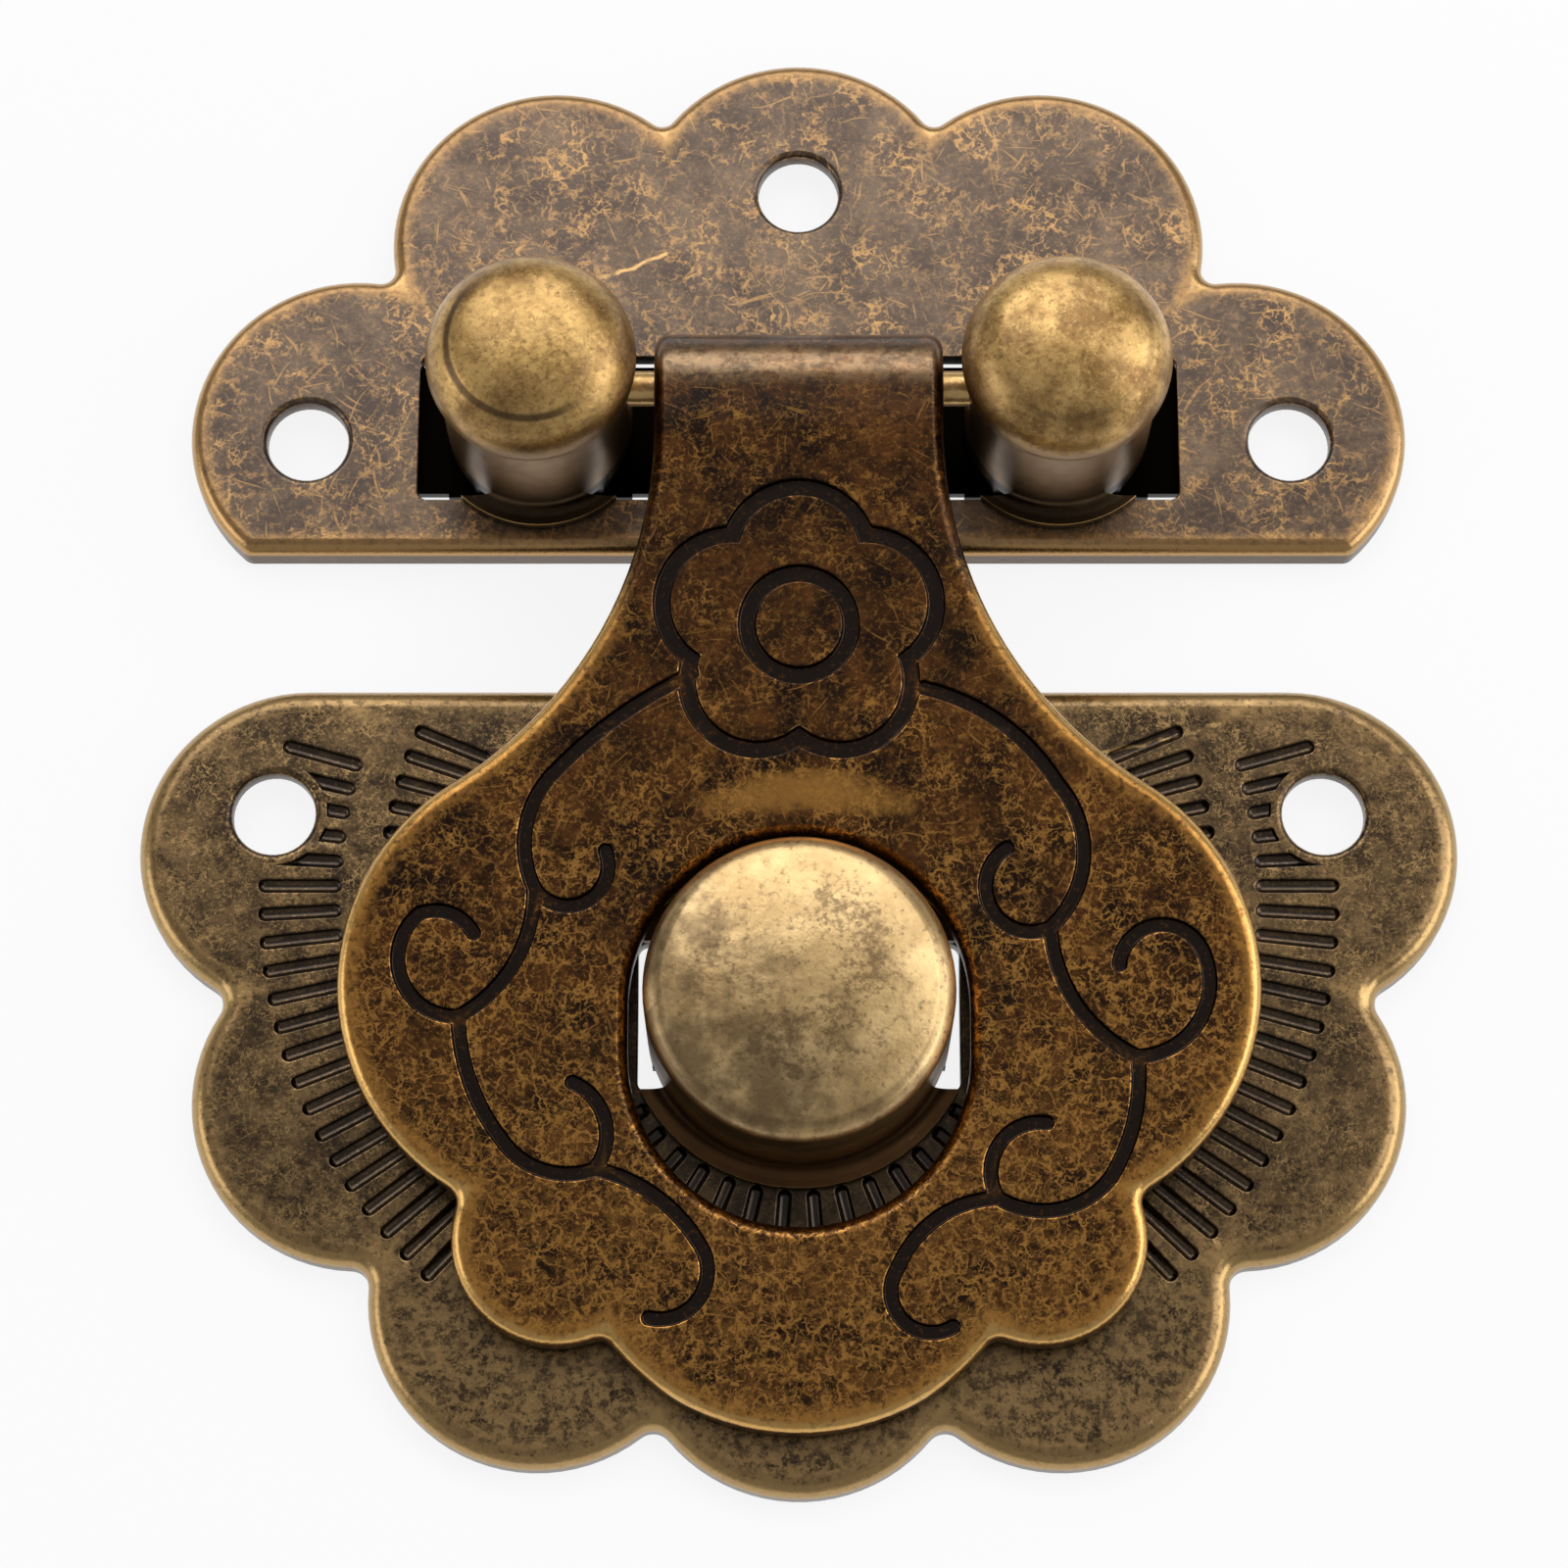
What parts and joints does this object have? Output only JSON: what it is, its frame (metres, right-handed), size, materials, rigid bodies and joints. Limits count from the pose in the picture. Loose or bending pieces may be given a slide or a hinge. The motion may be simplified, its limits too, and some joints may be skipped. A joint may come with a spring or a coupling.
{
  "type": "hasp latch",
  "caption": "Antique-brass hasp latch for a wooden box: scalloped lid plate with hinge posts, an engraved flap, and a scalloped strike plate with a catch button.",
  "frame": {"origin": "middle of the set in the plane of the wood that both plates are screwed to", "axes": "+Z out of the front faces, +Y from the box up to its lid, +X along the hinge pin to the right"},
  "size_m": [0.0476, 0.054, 0.0102],
  "materials": {
    "lid_brass": "antiqued dark, worn through to brass in fine veins and along the edges",
    "flap_brass": "antiqued dark brown, worn to gold on the raised edges, dark in the engraving",
    "strike_brass": "antiqued olive, finely speckled, worn pale at the rim",
    "cap_brass": "antiqued, rubbed bright on the crown, dark and smooth on the wall",
    "pin_brass": "drawn wire, lightly tarnished"
  },
  "bodies": {
    "plates": {"lid_plate": "lid_brass", "left_post": "cap_brass", "right_post": "cap_brass", "hinge_pin": "pin_brass", "strike_plate": "strike_brass", "catch_button": "cap_brass"},
    "flap": {"hasp_flap": "flap_brass"}
  },
  "joints": [
    {"name": "flap_hinge", "type": "hinge", "parent": "plates", "child": "flap", "pos_m": [0, 0.0125, 0.00486], "axis": [-1, 0, 0], "range_deg": [0, 180]}
  ]
}
